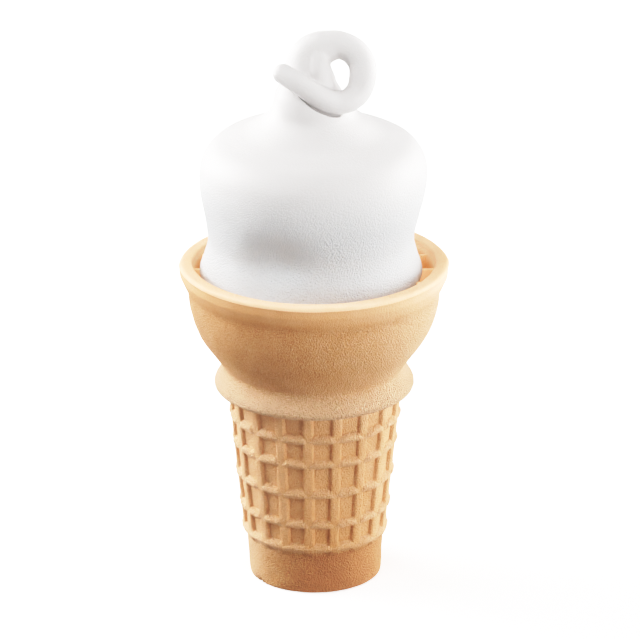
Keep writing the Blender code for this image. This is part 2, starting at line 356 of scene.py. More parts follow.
sector = [-step for step in HALF_SECTOR[-2:0:-1]] + list(HALF_SECTOR)
degrees = np.array([FIRST_RIB + RIB_PITCH * rib + step for rib in range(RIB_COUNT) for step in sector])
angles = np.radians(degrees)
rings = turn(outline, angles)
ring_z = outline[:, 1][:, None]
outside = np.arange(len(outline)) < int(np.argmax(outline[:, 1]))
on_stem = outside & (outline[:, 1] > BAND_TOP[1]) & (outline[:, 0] < COLLAR_CORNER[0])
on_stem &= outline[:, 1] <= STEM_TOP_Z
grid, on_bar = grid_height(degrees[None, :], ring_z)
grid *= on_stem[:, None]
push_out(rings, grid)
print("rings:", rings.shape, "rows on the stem:", int(on_stem.sum()))

# %% [markdown]
# ## Baked unevenness
#
# Batter swells and shrinks in the oven, so no wall is quite true. Noise of three sizes is added along
# the surface: broad waves, lumps of a few millimetres, and on the bars a crumb of one millimetre, where
# the batter bubbled. The lip is lower in places, most of all at the back, where it was trimmed. The
# foot has lost crumbs at its edge. Displace modifiers could do the same, but they couldn't be kept to
# the bars or to one side. Every point is kept inside the mould's own radius and height, and last the
# stem leans a third of a millimetre, as a cone does that was pulled from its mould while soft.

# %% Make the surface uneven
WAVE = (14.0, 0.22)  # size of the lumps and their height, in millimetres
LUMP = (3.2, 0.09)
CRUMB = (0.95, 0.1)  # on the bars
PRESSED_LUMP = 0.5  # share of the lumps that is left on the smooth band and the lip
CHIPS = (  # angle, half width in degrees, depth
    (-146.5, 2.2, 0.9),
    (-152.5, 1.6, 0.6),
    (-141.0, 1.2, 0.4),
    (38.0, 2.0, 0.5),
)
CHIP_HEIGHTS = (0.2, 1.8)  # chips are at their deepest below the first height and end at the second
CHIP_REACH = 2.0  # they go this far in under the foot
LIP_DIPS = (  # angle, half width in degrees, depth
    (148.0, 36.0, 1.2),
    (36.0, 34.0, 0.8),
    (-60.0, 70.0, 0.15),
)
STEM_LEAN = ((0.0, 0.3), (45.0, 0.25), (60.0, 0.0), (87.0, 0.0))  # millimetres along X by height


def angle_from(middle, angle):
    """How many degrees an angle lies from another, between -180 and 180."""
    return (angle - middle + 180) % 360 - 180


def roughen(rings):
    """Add noise across the outer surface; the inside gets it towards the axis."""
    points = rings.reshape(-1, 3)
    shape = rings.shape[:2]
    pressed = ease(STEP[1] - 1.0, STEP[1], ring_z)  # the smooth band and lip
    total = noise_at(points, WAVE[0], 1).reshape(shape) * WAVE[1]
    total += noise_at(points, LUMP[0], 2).reshape(shape) * LUMP[1] * (1 - (1 - PRESSED_LUMP) * pressed)
    total += noise_at(points, CRUMB[0], 3).reshape(shape) * CRUMB[1] * (on_bar & on_stem[:, None])
    push_out(rings, total * np.where(outside, 1.0, -1.0)[:, None])


def chip_foot(rings):
    """Knock crumbs off the foot's edge."""
    near_foot = (1 - ease(*CHIP_HEIGHTS, ring_z)) * (outline[:, :1] > FOOT_RADIUS - CHIP_REACH)
    for middle, width, depth in CHIPS:
        push_out(rings, -depth * near_foot * roll(angle_from(middle, degrees) / width, 2.0))


def dip_lip(rings):
    """Lower the lip where it was trimmed or shrank, and draw it in a little there."""
    for middle, half_width, depth in LIP_DIPS:
        dip = depth * roll(angle_from(middle, degrees) / half_width, 2.0) * ease(STEP[1], CONE_HEIGHT, ring_z)
        rings[:, :, 2] -= dip
        push_out(rings, -dip / 3)


def keep_in_mould(rings):
    """Bring back what the noise pushed past the rim's radius or the cone's height."""
    reach = np.linalg.norm(rings[:, :, :2], axis=2)
    rings[:, :, :2] *= np.minimum(1.0, RIM_RADIUS / np.maximum(reach, 1e-6))[:, :, None]
    rings[:, :, 2] = np.minimum(rings[:, :, 2], CONE_HEIGHT)


roughen(rings)
chip_foot(rings)
dip_lip(rings)
keep_in_mould(rings)
rings[:, :, 0] += np.interp(ring_z, *zip(*STEM_LEAN))
print("largest radius:", round(float(np.linalg.norm(rings[:, :, :2], axis=2).max()), 2), "mm")

# %% [markdown]
# ## From rings to a mesh
#
# Blender can take vertices and faces as plain lists. Each quad joins two neighbouring columns of two
# neighbouring rings, and each end ring is closed by a fan of triangles, so that the mesh is one closed
# skin with every face pointing out.

# %% Build a closed mesh


def closed_mesh(name, rings):
    """Object from rings of points in millimetres, closed at both ends."""
    count, columns = rings.shape[:2]
    ends = rings[[0, -1]].mean(axis=1)
    points = np.vstack([rings.reshape(-1, 3), ends]) * MM
    number = np.arange(count * columns).reshape(count, columns)
    ahead = np.roll(number, -1, axis=1)
    quads = np.stack([number[:-1], ahead[:-1], ahead[1:], number[1:]], axis=2).reshape(-1, 4)
    first, last = count * columns, count * columns + 1
    fans = [(first, b, a) for a, b in zip(number[0].tolist(), ahead[0].tolist())]
    fans += [(last, a, b) for a, b in zip(number[-1].tolist(), ahead[-1].tolist())]
    mesh = bpy.data.meshes.new(name)
    mesh.from_pydata(points.tolist(), [], quads.tolist() + fans)
    mesh.shade_smooth()
    made = bpy.data.objects.new(name, mesh)
    bpy.context.scene.collection.objects.link(made)
    return made


wafer = closed_mesh("baked_wafer_cone", rings)
print("wafer mesh:", len(wafer.data.polygons), "faces")

# %% [markdown]
# ## How toasted the wafer is, with its painted shade and painted glow
#
# A wafer browns where it is thin or lay against hot steel. The trimmed lip and the thick collar stayed
# cream, and the foot is the brownest. The same number also carries painted shade and painted light: the
# front and the back are painted darker and the sides lighter, most of all at the foot, and the bowl is
# painted darker at its left front and the stem and the foot at their right front, with the opposite
# sides painted lighter. The crests of the bars are lighter than the pockets, partly their own paler
# colour and partly a painted highlight. The lip's sides are painted darker, so that its front reads as
# lit, and the inside is painted darker deeper in the gap beside the ice cream. A painted image could
# hold this, but one number on each vertex, from 0 for cream to 1 for dark brown, follows the mould's own
# shape, and the material turns it into a colour. A second number says how rough the grain is: coarse
# on the collar and the bars, where the batter bubbled, and fine on the pressed ribs and the upper band.
# A third is a painted glow, an emission that stands in for light: the bowl's inside glows orange with
# it in the gap, and the lip glows a little, as a painted highlight.

# %% Store the toasting, the painted shade and the painted glow
TOAST_BY_HEIGHT = (
    (0.0, 0.78),
    (11.0, 0.66),
    (14.0, 0.54),
    (50.0, 0.43),
    (52.0, 0.04),  # collar
    (54.5, 0.0),
    (57.0, 0.12),
    (59.0, 0.37),  # bowl
    (76.0, 0.34),
    (80.6, 0.42),
    (82.0, 0.32),  # smooth band
    (86.0, 0.26),
)
# painted shade: the front and the back are painted darker and the sides lighter, by height
PAINTED_SHADE_FRONT_BACK = ((0.0, 0.24), (12.0, 0.16), (20.0, 0.08), (87.0, 0.05))  # how much, by height
FRONT_SHADE_ANGLE = -83.0  # degrees; where the painted shade on the front is deepest
PAINTED_SHADE_SIDES = (  # height where the painted shade starts, height where it is full, angle, amount; the opposite side is painted as much lighter
    (54.0, 66.0, -130.0, 0.36),
    (50.0, 44.0, -55.0, 0.1),
    (13.0, 11.0, -20.0, 0.14),
)
LIP_TOAST_AND_SIDE_SHADE = (0.1, 0.2)  # its toasting all round, and painted shade that darkens its sides, so that its front reads as lit
BAR_TOAST_AND_HIGHLIGHT = -0.2  # the crests brown less than the pockets, and are painted lighter as a highlight too
# the inner wall, browner deeper in the gap as painted shade; it also colours the painted glow there
TOAST_AND_SHADE_INSIDE = ((70.0, 0.9), (81.5, 0.9), (83.5, 0.5), (84.6, 0.15), (87.0, 0.05))
GRAIN_BY_HEIGHT = (
    (0.0, 0.9),
    (12.0, 0.9),
    (13.0, 0.5),  # ribs and pockets
    (51.0, 0.5),
    (52.0, 1.7),  # collar
    (56.0, 1.2),
    (60.0, 0.9),  # bowl
    (79.0, 0.8),
    (81.0, 0.4),  # smooth band
    (85.0, 0.15),
)
GRAIN_ON_BARS = 0.85
GRAIN_INSIDE = 0.4
# painted glow, an emission that stands in for light: a little on the lip, more inside the bowl
PAINTED_GLOW_OF_LIP = 0.26
PAINTED_GLOW_INSIDE = ((70.0, 0.6), (81.0, 0.6), (84.0, 0.45), (85.6, 0.3), (87.0, 0.24))
LIP_BLEND = 0.1  # the lip's own values start within this height of its edge


def store(mesh, name, values):
    """Keep one number for each vertex on a mesh."""
    attribute = mesh.attributes.new(name, "FLOAT", "POINT")
    attribute.data.foreach_set("value", np.asarray(values, dtype=np.float32))


def interpolate(table, height):
    """Value at a height from a table of (height, value)."""
    return np.interp(height, *zip(*table))


# toasting by height; the lines below add painted shade and painted light to the same number
toast_and_shade = interpolate(TOAST_BY_HEIGHT, ring_z) + np.zeros_like(angles)[None, :]
# painted shade on the front and back, painted light on the sides
front_back_shade = np.cos(2 * np.radians(degrees - FRONT_SHADE_ANGLE))
toast_and_shade += interpolate(PAINTED_SHADE_FRONT_BACK, ring_z) * front_back_shade
# painted shade on the bowl's left front and the stem's and foot's right front, painted light opposite
for start, full, shaded_side, shade_amount in PAINTED_SHADE_SIDES:
    toast_and_shade += shade_amount * ease(start, full, ring_z) * np.cos(np.radians(degrees - shaded_side))
# bar crests: their own paler colour and a painted highlight
toast_and_shade += BAR_TOAST_AND_HIGHLIGHT * (on_bar & on_stem[:, None])
# inside the bowl: painted shade that deepens down the gap
toast_and_shade = np.where(outside[:, None], toast_and_shade, interpolate(TOAST_AND_SHADE_INSIDE, ring_z))
# the lip's own toast, with painted shade on its sides
on_lip = ease(CONE_HEIGHT - LIP_FACE, CONE_HEIGHT - LIP_FACE + LIP_BLEND, ring_z)
lip_cream, lip_side_shade = LIP_TOAST_AND_SIDE_SHADE
toast_and_shade += (lip_cream + lip_side_shade * (1 - front_back_shade) / 2 - toast_and_shade) * on_lip
store(wafer.data, "toast_and_shade", [*toast_and_shade.ravel(), toast_and_shade[0, 0], toast_and_shade[-1, 0]])
grain = interpolate(GRAIN_BY_HEIGHT, ring_z) + np.zeros_like(toast_and_shade)
grain += np.where(on_stem[:, None] & on_bar, GRAIN_ON_BARS - grain, 0.0)
grain = np.where(outside[:, None], grain, GRAIN_INSIDE)
store(wafer.data, "grain", [*grain.ravel(), GRAIN_INSIDE, GRAIN_INSIDE])
# painted glow inside the bowl and on the lip
painted_glow = np.where(outside[:, None], 0.0, interpolate(PAINTED_GLOW_INSIDE, ring_z)) + np.zeros_like(toast_and_shade)
painted_glow = np.maximum(painted_glow, PAINTED_GLOW_OF_LIP * on_lip * outside[:, None])
store(wafer.data, "painted_glow", [*painted_glow.ravel(), 0.0, 0.0])
print("toast from", round(float(toast_and_shade.min()), 2), "to", round(float(toast_and_shade.max()), 2))

# %% [markdown]
# ## The holding fins
#
# Thin fins stand on the bowl's inner wall and grip the ice cream. Each one is a plate, drawn as a flat
# outline and extruded to its thickness, with a small bead along its top that gets a painted highlight.
# Exact Boolean unions make them one skin with the cone, which is how they are moulded, and leave no faces
# inside the wall. The plates are united first and the beads after them, because a union goes wrong with
# a second mesh that cuts itself. It doesn't carry over the numbers stored on that mesh either, so the
# fins get their own toasting and a painted glow that stands in for light in the gap, once their
# vertices exist.

# %% Raise the fins
FIN_COUNT = 18
FIN_THICKNESS = 0.8
FIN_TOP_Z = 84.2
FIN_FOOT_Z = 71.5
FIN_REACH = 26.4  # the fins' inner edge, pressed into the ice cream
FIN_CHAMFER = 3.0  # how far a fin's foot stays back from the wall
FIN_ZONE = (FIN_FOOT_Z - 1.0, FIN_TOP_Z + 0.1)  # vertices between these heights may be a fin's
BEAD_HEIGHT = 0.3  # of the bead along a fin's top
BEAD_THICKNESS = 0.9
BEAD_REACH = FIN_REACH - 0.1
BEAD_FOOT_Z = FIN_TOP_Z - BEAD_HEIGHT
# the fins get a painted glow that stands in for light in the gap
FIN_VALUES = {"toast_and_shade": 0.8, "grain": 0.3, "painted_glow": 0.36}
# painted highlight along the fins' tops: a cream tone and a strong painted glow
BEAD_PAINTED_HIGHLIGHT = {"toast_and_shade": 0.1, "grain": 0.3, "painted_glow": 0.85}
WALL_VALUES = {"toast_and_shade": TOAST_AND_SHADE_INSIDE, "grain": ((0.0, GRAIN_INSIDE),), "painted_glow": PAINTED_GLOW_INSIDE}
SHARP_ANGLE = math.radians(50)
NEAR_WALL = (-0.6, 0.3)  # a vertex this far from the inner wall belongs to it; further in, to a fin


def plate(outline, thickness, turn_angle, first):
    """Points and faces of an upright plate, its corners numbered from first."""
    out = np.array((math.cos(turn_angle), math.sin(turn_angle), 0.0))
    side = np.array((-math.sin(turn_angle), math.cos(turn_angle), 0.0)) * thickness / 2
    points = []
    for shift in (-side, side):
        points += [(out * radius + shift + (0.0, 0.0, height)) * MM for radius, height in outline]
    corners = len(outline)
    faces = [list(range(first, first + corners))]
    faces.append(list(range(first + 2 * corners - 1, first + corners - 1, -1)))
    for i in range(corners):
        j = (i + 1) % corners
        faces.append([first + j, first + i, first + corners + i, first + corners + j])
    return points, faces


def plates(outline, thickness):
    """Plates of one outline that stand round the axis, as one mesh."""
    points, faces = [], []
    for turn_angle in np.radians(np.arange(FIN_COUNT) * 360 / FIN_COUNT):
        more_points, more_faces = plate(outline, thickness, turn_angle, len(points))
        points += more_points
        faces += more_faces
    mesh = bpy.data.meshes.new("holding_fins")
    mesh.from_pydata([tuple(point) for point in points], [], faces)
    mesh.shade_smooth()
    made = bpy.data.objects.new("holding_fins", mesh)
    bpy.context.scene.collection.objects.link(made)
    return made


def apply_modifiers(made):
    """Replace the object's mesh by the one its modifiers give."""
    evaluated = made.evaluated_get(bpy.context.evaluated_depsgraph_get())
    mesh = bpy.data.meshes.new_from_object(evaluated)
    made.modifiers.clear()
    made.data = mesh


def unite(target, other):
    """Exact Boolean union of two closed objects; the other one is removed."""
    union = target.modifiers.new("union", "BOOLEAN")
    union.operation = "UNION"
    union.solver = "EXACT"
    union.object = other
    apply_modifiers(target)
    bpy.data.objects.remove(other, do_unlink=True)


def read(mesh, what, width=3):
    """An array of a value of every vertex."""
    values = np.empty(len(mesh.vertices) * width, dtype=np.float32)
    mesh.vertices.foreach_get(what, values)
    return values.reshape(-1, width)


def finish_fins(mesh):
    """Give the fins, and the wall where they meet it, their own values."""
    points = read(mesh, "co") / MM
    reach, z = np.hypot(points[:, 0], points[:, 1]), points[:, 2]
    inner = outline[~outside]
    gap = np.interp(z, inner[::-1, 1], inner[::-1, 0]) - reach  # from the inner wall
    at_fins = (z > FIN_ZONE[0]) & (z < FIN_ZONE[1]) & (gap > NEAR_WALL[0])
    on_bead = z > BEAD_FOOT_Z - 0.01  # a little lower, so that rounding leaves none of its corners out
    for name, wall in WALL_VALUES.items():
        values = np.empty(len(z), dtype=np.float32)
        mesh.attributes[name].data.foreach_get("value", values)
        values = np.where(at_fins, interpolate(wall, z), values)
        on_fin = np.where(on_bead, BEAD_PAINTED_HIGHLIGHT[name], FIN_VALUES[name])
        values = np.where(at_fins & (gap > NEAR_WALL[1]), on_fin, values)
        mesh.attributes[name].data.foreach_set("value", values.astype(np.float32))


fin_wall = BOWL_CENTRE[0] + BOWL_RADIUS - BOWL_WALL / 2
plate_top = FIN_TOP_Z - BEAD_HEIGHT / 2
panel = [(FIN_REACH, FIN_FOOT_Z), (fin_wall - FIN_CHAMFER, FIN_FOOT_Z), (fin_wall, BOWL_CENTRE[1])]
panel += [(fin_wall, plate_top), (FIN_REACH, plate_top)]
bead = [(BEAD_REACH, BEAD_FOOT_Z), (fin_wall, BEAD_FOOT_Z), (fin_wall, FIN_TOP_Z), (BEAD_REACH, FIN_TOP_Z)]
unite(wafer, plates(panel, FIN_THICKNESS))
unite(wafer, plates(bead, BEAD_THICKNESS))
finish_fins(wafer.data)
wafer.data.set_sharp_from_angle(angle=SHARP_ANGLE)
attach(wafer, "root")
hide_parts("wafer_cone")
print("wafer with fins:", len(wafer.data.polygons), "faces")

# %% [markdown]
# ## The body of the ice cream
#
# Soft serve comes out of a star or a round nozzle as a thick rope. Here it has filled the bowl and
# swelled over a narrower waist to a broad belly, and the nozzle was pulled up into a neck. Sculpting
# could shape it by hand, but a smooth curve through a few points (a Catmull-Rom curve, which passes
# through each of them) gives an outline that can be changed later. The neck swells towards the front,
# and the waist has a soft dent at the front left.

# %% Turn the body
CORE_RADIUS = 26.7
SEAT_GAP = 0.3  # between the ice cream and the bowl's inner wall
SERVE_FINE = 0.5
LEAN = ((70.0, 0.0), (80.0, -0.7), (95.0, -0.7), (111.0, 0.0), (125.0, 0.0), (133.0, -1.3))
BODY = (
    (CORE_RADIUS, 72.0),
    (CORE_RADIUS, 78.4),
    (27.3, 81.0),
    (28.8, 84.2),  # foot, widest just below the lip
    (27.7, 87.9),
    (26.6, 92.8),  # waist
    (27.5, 98.6),
    (28.9, 105.5),
    (29.35, 111.0),  # belly
    (28.5, 115.4),
    (25.8, 118.8),  # shoulder
    (21.5, 120.9),
    (17.5, 122.6),
    (14.0, 124.9),  # hollow below the neck
    (11.3, 127.4),
    (9.7, 130.0),
    (8.6, 133.0),
    (6.9, 135.9),
)
DENT = (-107.0, 16.0, 95.5, 5.5, 2.9)  # angle, its spread, height, its spread, depth
NECK_SWELL = (-82.0, 75.0, 1.3)  # angle, half width in degrees, millimetres
SWELL_HEIGHTS = (126.5, 131.0)


def lean(height):
    """How far the ice cream leans along X at a height."""
    return np.interp(height, *zip(*LEAN))


seat = BOWL_RADIUS - BOWL_WALL - SEAT_GAP
seat_edge = BOWL_CENTRE[0] + seat * math.cos(math.radians(BOWL_FLOOR))
under = [(START_RADIUS, SERVE_FLOOR), (seat_edge, SERVE_FLOOR), (24.4, 65.0), (CORE_RADIUS, 68.6)]
body_outline = np.vstack([np.array(under), smooth_path(BODY, SERVE_FINE)])
body_degrees = np.arange(0, 360, 1.0)
body_rings = turn(body_outline, np.radians(body_degrees))
body_z = body_rings[:, :, 2]
middle, spread, dent_z, dent_spread, depth = DENT
across, up = angle_from(middle, body_degrees) / spread, (body_z - dent_z) / dent_spread
push_out(body_rings, -depth * np.exp(-(across**2) - up**2))
middle, half_width, amount = NECK_SWELL
swell = amount * ease(*SWELL_HEIGHTS, body_z)
push_out(body_rings, swell * roll(angle_from(middle, body_degrees) / half_width, 2.0))
body_rings[:, :, 0] += lean(body_z)
body = closed_mesh("soft_serve_ice_cream", body_rings)
print("body outline:", len(body_outline), "points")

# %% [markdown]
# ## The curl
#
# When the nozzle is pulled away, the last of the rope falls over in a loop and comes to rest across
# the front of its own neck. A bevelled curve object could do this, but sweeping a round section by
# hand along a smooth path of points and radii lets the rope thin towards its tip and gives the tip a
# rounded end. A short ridge on the neck shows where the rope folded under the arch. The same sweep
# later draws the open fold under the tail, stretched to a flat slit.

# %% Sweep the curl
CURL = (
    (-1.3, 0.0, 131.0, 7.0),
    (-1.4, 0.0, 135.0, 7.3),
    (-1.5, 0.3, 139.0, 6.3),
    (-0.8, 0.8, 142.3, 5.3),
    (2.0, 0.8, 144.3, 4.7),
    (4.4, 0.7, 145.1, 4.0),
    (6.6, 0.5, 145.4, 3.6),
    (9.8, 0.0, 144.1, 3.55),
    (12.1, -1.2, 141.6, 3.55),
    (12.6, -3.0, 138.6, 3.5),
    (11.6, -4.6, 134.9, 3.3),
    (9.0, -6.5, 132.9, 3.1),
    (5.8, -7.7, 132.7, 2.9),
    (2.1, -8.7, 134.3, 2.8),
    (-1.5, -8.7, 136.5, 2.75),
    (-5.0, -7.8, 138.6, 2.7),
    (-8.0, -6.3, 140.0, 2.6),
)
RIDGE = ((3.6, -4.6, 131.0, 2.6), (2.6, -4.3, 135.0, 2.9), (1.3, -3.7, 139.5, 3.1), (0.9, -2.0, 143.0, 2.8))
FOLD = (  # the open fold under the tail
    (-3.9, -9.1, 134.7, 0.1),
    (-2.6, -9.4, 133.8, 0.2),
    (-1.3, -9.5, 132.7, 0.4),
    (0.2, -9.6, 131.7, 0.5),
    (1.8, -9.4, 130.8, 0.55),
    (3.5, -9.0, 130.0, 0.55),
    (5.6, -8.7, 129.4, 0.5),
    (7.7, -8.2, 129.4, 0.35),
    (9.8, -7.5, 130.0, 0.1),
)
FOLD_INWARDS = (0.0, 0.93, -0.37)  # straight in under the tail, and a little down
FOLD_DEPTH = 2.6  # times its height
ROPE_SIDES = 48
TIP_LENGTH = 2.5
TIP_STEPS = np.radians(np.arange(8, 90, 8))


def sweep(name, path, across=(0.0, 1.0, 0.0), stretch=1.0):
    """Closed rope along a path of (x, y, z, radius) with a rounded end, stretched in one direction."""
    path = smooth_path(path, SERVE_FINE)
    end = path[-1]
    ahead = end[:3] - path[-2][:3]
    ahead *= TIP_LENGTH / np.linalg.norm(ahead)
    tip = [np.append(end[:3] + ahead * math.sin(step), end[3] * math.cos(step)) for step in TIP_STEPS]
    path = np.vstack([path, tip])
    along = np.gradient(path[:, :3], axis=0)
    sides = 2 * math.pi * np.arange(ROPE_SIDES) / ROPE_SIDES
    across = Vector(across)
    rings = []
    for point, direction in zip(path, along):
        direction = Vector(direction).normalized()
        across = (across - direction * across.dot(direction)).normalized()
        other = np.array(direction.cross(across))
        circle = np.outer(np.cos(sides) * stretch, np.array(across)) + np.outer(np.sin(sides), other)
        rings.append(point[:3] + circle * point[3])
    return closed_mesh(name, np.array(rings))


rope = sweep("rope", CURL)
ridge = sweep("ridge", RIDGE)
print("rope faces:", len(rope.data.polygons))

# %% [markdown]
# ## One flowing piece
#
# The body, the rope and the ridge are one mass of ice cream. A Boolean union would leave a hard seam
# where they meet. A voxel remesh turns the overlapping skins into a single even one instead. A Boolean
# difference then opens the fold under the tail, and a Smooth modifier lets the folds flow into each
# other, sharp enough that the tail still reads as lying on the neck. A Decimate modifier takes out the
# triangles that the broad, gently curved body doesn't need.

# %% Melt the shapes together
VOXEL = 0.38
SMOOTHING = 4
SMOOTHING_SHARE = 0.5
KEPT_SHARE = 0.6


def join(target, *others):
    """Join other objects' meshes into the target's."""
    with bpy.context.temp_override(active_object=target, selected_editable_objects=[target, *others]):
        bpy.ops.object.join()


def cut(target, other):
    """Boolean difference of two closed objects; the other one is removed."""
    difference = target.modifiers.new("difference", "BOOLEAN")
    difference.operation = "DIFFERENCE"
    difference.solver = "MANIFOLD"
    difference.object = other
    apply_modifiers(target)
    bpy.data.objects.remove(other, do_unlink=True)


join(body, rope, ridge)
remesh = body.modifiers.new("remesh", "REMESH")
remesh.mode = "VOXEL"
remesh.voxel_size = VOXEL * MM
apply_modifiers(body)
cut(body, sweep("fold", FOLD, FOLD_INWARDS, FOLD_DEPTH))
smoothing = body.modifiers.new("smoothing", "SMOOTH")
smoothing.factor = SMOOTHING_SHARE
smoothing.iterations = SMOOTHING
thinning = body.modifiers.new("thinning", "DECIMATE")
thinning.ratio = KEPT_SHARE
apply_modifiers(body)
body.data.shade_smooth()
print("ice cream faces:", len(body.data.polygons))

# %% [markdown]
# ## Iced lumps
#
# The lower half froze against cold air and has a fine, lumpy skin, and the upper half is smoother.
# A Displace modifier could raise the lumps, but it can't fade them out by height without a vertex
# group. Here each vertex moves along its normal by smooth noise, weighted by how low it lies. What is
# finer than the mesh is left to the material's bump.

# %% Lump the ice cream's skin
ICE_LUMP = (1.7, 0.03)
ICE_WAVE = (14.0, 0.35)
ICE_FADE = (96.0, 118.0)  # between these heights the lumps fade out
LUMPS_ABOVE = 0.25  # share of the lumps that is left on the upper half
WAVE_FADE = (116.0, 124.0)

points = read(body.data, "co") / MM
normals = read(body.data, "normal")
iced = 1 - ease(*ICE_FADE, points[:, 2])
push = noise_at(points, ICE_LUMP[0], 7) * ICE_LUMP[1] * (LUMPS_ABOVE + (1 - LUMPS_ABOVE) * iced)
push += noise_at(points, ICE_WAVE[0], 8) * ICE_WAVE[1] * (1 - ease(*WAVE_FADE, points[:, 2]))
moved = points + normals * push[:, None]
moved = np.clip(moved, np.array(serve_low) / MM, np.array(serve_high) / MM)
body.data.vertices.foreach_set("co", (moved * MM).astype(np.float32).ravel())
body.data.update()
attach(body, "root")
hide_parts("soft_serve")
print("largest push:", round(float(np.abs(push).max()), 3), "mm")

# %% [markdown]
# ## Materials
#
# Each material is a small net of nodes on one Principled shader. One function turns a hex colour to
# the linear values that a shader needs, and another adds a node with its settings and its links.

# %% Colour and node helpers


def linear(hex_colour, alpha=1.0):
    """Linear colour from an sRGB hex value."""
    channels = [int(hex_colour[i : i + 2], 16) / 255 for i in (1, 3, 5)]
    return (*[c / 12.92 if c <= 0.04045 else ((c + 0.055) / 1.055) ** 2.4 for c in channels], alpha)


def node(tree, kind, settings=None, **inputs):
    """Add a node, set its properties, and set or link its inputs by name, or by number as _0."""
    added = tree.nodes.new(kind)
    for name, value in (settings or {}).items():
        setattr(added, name, value)
    for name, value in inputs.items():
        socket = added.inputs[int(name[1:])] if name[1:].isdigit() else added.inputs[name.replace("_", " ")]
        if isinstance(value, bpy.types.NodeSocket):
            tree.links.new(value, socket)
        else:
            socket.default_value = value
    return added


def new_material(name):
    """An empty material: its tree, its shader and its coordinates in metres."""
    made = bpy.data.materials.new(name)
    made.use_nodes = True
    tree = made.node_tree
    shader = tree.nodes["Principled BSDF"]
    place = node(tree, "ShaderNodeTexCoord").outputs["Object"]
    return made, tree, shader, place


print("half grey in linear light:", round(linear("#808080")[0], 3))

# %% [markdown]
# ## Baked wafer
#
# A cake cone is a wheat and tapioca batter baked in a hot mould: matt, dry, finely grained, cream where
# it was trimmed and golden brown where the mould was hottest. Its grain is 0.3 to 0.5 mm, which is what
# the noise draws. The pits of the grain lie lower and are a little browner than the crumbs. A painted
# image would blur or repeat, and the noise is drawn in metres on the object itself. Light goes a little
# way into the thin wall, which warms the shadows. The toast number also carries painted shade and
# painted light, and the wafer gives off its own brown as a painted glow, an emission that stands in for
# light in the bowl's gap and on the lip, as much of it as a number on each vertex says.

# %% Make the baked wafer
WAFER_TONES = (  # toasting with painted shade, colour
    (0.0, "#FBCFAA"),
    (0.25, "#EEBF98"),
    (0.5, "#E2B087"),
    (0.8, "#D29A6C"),
    (1.0, "#C38860"),
)
WAFER_PATCH = (0.006, 0.3)  # size of the mottling in metres, and how much it changes the toasting
WAFER_GRAIN = 0.00036
PIT_TOAST = 1.0  # how much browner a pit of the grain is than a bump
PIT_DEPTH = 0.0013


def baked_wafer():
    """Matt, grained, unevenly toasted wafer with painted shade, and a painted glow in the bowl's gap."""
    made, tree, shader, place = new_material("baked_wafer")
    # the toast number carries painted shade and painted light as well as the toasting
    toast_and_shade_level = node(tree, "ShaderNodeAttribute", {"attribute_name": "toast_and_shade"}).outputs["Fac"]
    coarse = node(tree, "ShaderNodeAttribute", {"attribute_name": "grain"}).outputs["Fac"]
    alike = {"Vector": place, "Roughness": 0.6}
    cloud = node(tree, "ShaderNodeTexNoise", Scale=1 / WAFER_PATCH[0], Detail=3.0, **alike).outputs["Fac"]
    crumb = node(tree, "ShaderNodeTexNoise", Scale=1 / WAFER_GRAIN, Detail=1.0, **alike).outputs["Fac"]
    raised = node(tree, "ShaderNodeMath", {"operation": "SUBTRACT"}, _0=crumb, _1=0.5).outputs[0]
    raised = node(tree, "ShaderNodeMath", {"operation": "MULTIPLY"}, _0=raised, _1=coarse).outputs[0]
    patch = node(tree, "ShaderNodeMath", {"operation": "SUBTRACT"}, _0=cloud, _1=0.5).outputs[0]
    for change, strength in ((patch, WAFER_PATCH[1]), (raised, -PIT_TOAST)):
        values = {"_0": change, "_1": strength, "_2": toast_and_shade_level}
        toast_and_shade_level = node(tree, "ShaderNodeMath", {"operation": "MULTIPLY_ADD"}, **values).outputs[0]
    ramp = node(tree, "ShaderNodeValToRGB", Fac=toast_and_shade_level)
    stops = ramp.color_ramp.elements
    for position, _ in WAFER_TONES[1:-1]:
        stops.new(position)
    for stop, (position, tone) in zip(stops, WAFER_TONES):
        stop.position = position
        stop.color = linear(tone)
    tree.links.new(ramp.outputs["Color"], shader.inputs["Base Color"])
    # painted glow: an emission in the wafer's own colour that stands in for light in the gap and on the lip
    painted_glow = node(tree, "ShaderNodeAttribute", {"attribute_name": "painted_glow"}).outputs["Fac"]
    painted_glow_colour = node(tree, "ShaderNodeVectorMath", {"operation": "SCALE"}, _0=ramp.outputs["Color"], Scale=painted_glow)
    tree.links.new(painted_glow_colour.outputs[0], shader.inputs["Emission Color"])
    shader.inputs["Emission Strength"].default_value = 1.0
    bump = node(tree, "ShaderNodeBump", Strength=1.0, Distance=PIT_DEPTH, Height=raised)
    tree.links.new(bump.outputs["Normal"], shader.inputs["Normal"])
    shader.inputs["Roughness"].default_value = 0.8
    shader.inputs["Specular IOR Level"].default_value = 0.25
    shader.inputs["Subsurface Weight"].default_value = 0.15
    shader.inputs["Subsurface Radius"].default_value = (1.0, 0.5, 0.3)
    shader.inputs["Subsurface Scale"].default_value = 0.001
    return made


def paint(piece, look):
    """Give a piece one material."""
    piece.data.materials.clear()
    piece.data.materials.append(look)
    print(piece.name, "is finished in", look.name)


paint(wafer, baked_wafer())

# %% [markdown]
# ## Soft serve
#
# Soft serve is milk fat, ice and air: nearly white, and so full of fine bubbles that light scatters
# below its skin, which softens every fold. The skin is satin. The upper half is a little creamier. The
# lower half is frosted, and its ice crystals lie in short slanting streaks a third of a millimetre
# wide, because the rope turned while it was piped. Stretched noise in the bump draws them. The lower
# half is also painted a cooler tone, a painted cool shade that offsets the warm light from the wafer.

